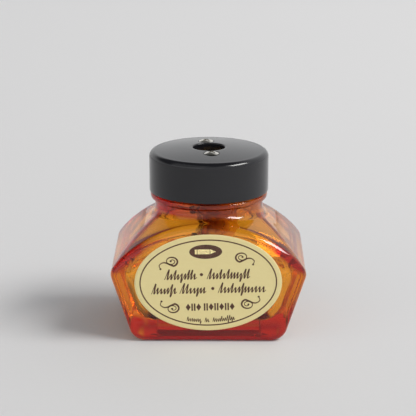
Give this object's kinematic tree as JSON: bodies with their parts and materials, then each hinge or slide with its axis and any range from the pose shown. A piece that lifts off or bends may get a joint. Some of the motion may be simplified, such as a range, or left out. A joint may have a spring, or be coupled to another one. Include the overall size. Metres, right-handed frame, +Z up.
{
  "type": "pencil sharpener",
  "caption": "Inkwell pencil sharpener: a small amber glass bottle for the shavings, with a black screw lid that carries a brass sharpener under its pencil hole.",
  "frame": {"origin": "centre of the bottle's base, on the surface it stands on, below the lid's axis", "axes": "+Z up along the lid's axis, -Y out of the labelled front face, +X to the right of someone facing the label"},
  "size_m": [0.0492, 0.0358, 0.0468],
  "materials": {
    "amber_glass": "clear, amber to deep red where it is thick, glossy",
    "label_paper": "matt cream paper with brown print",
    "black_plastic": "satin gloss",
    "seal_foam": "matt closed-cell foam",
    "brass": "fine-turned",
    "blade_steel": "ground",
    "screw_steel": "zinc-plated",
    "nickel": "bright nickel"
  },
  "bodies": {
    "bottle": {"glass_bottle": "amber_glass", "front_label": "label_paper"},
    "seal": {"lid_seal": "seal_foam"},
    "lid": {"screw_lid": "black_plastic", "sharpener_body": "brass", "sharpener_blade": "blade_steel", "blade_screw": "screw_steel", "lid_screw_front": "nickel", "lid_screw_back": "nickel"}
  },
  "joints": [
    {"name": "lid_lift", "type": "slide", "parent": "bottle", "child": "seal", "axis": [0, 0, 1], "range_m": [0, 0.0321]},
    {"name": "lid_turn", "type": "hinge", "parent": "seal", "child": "lid", "pos_m": [0, 0, 0.035], "axis": [0, 0, 1], "range_deg": [0, 3600]}
  ],
  "couplings": [
    {"joint": "lid_lift", "follows": "lid_turn", "m_per_rad": 0.0005093}
  ]
}
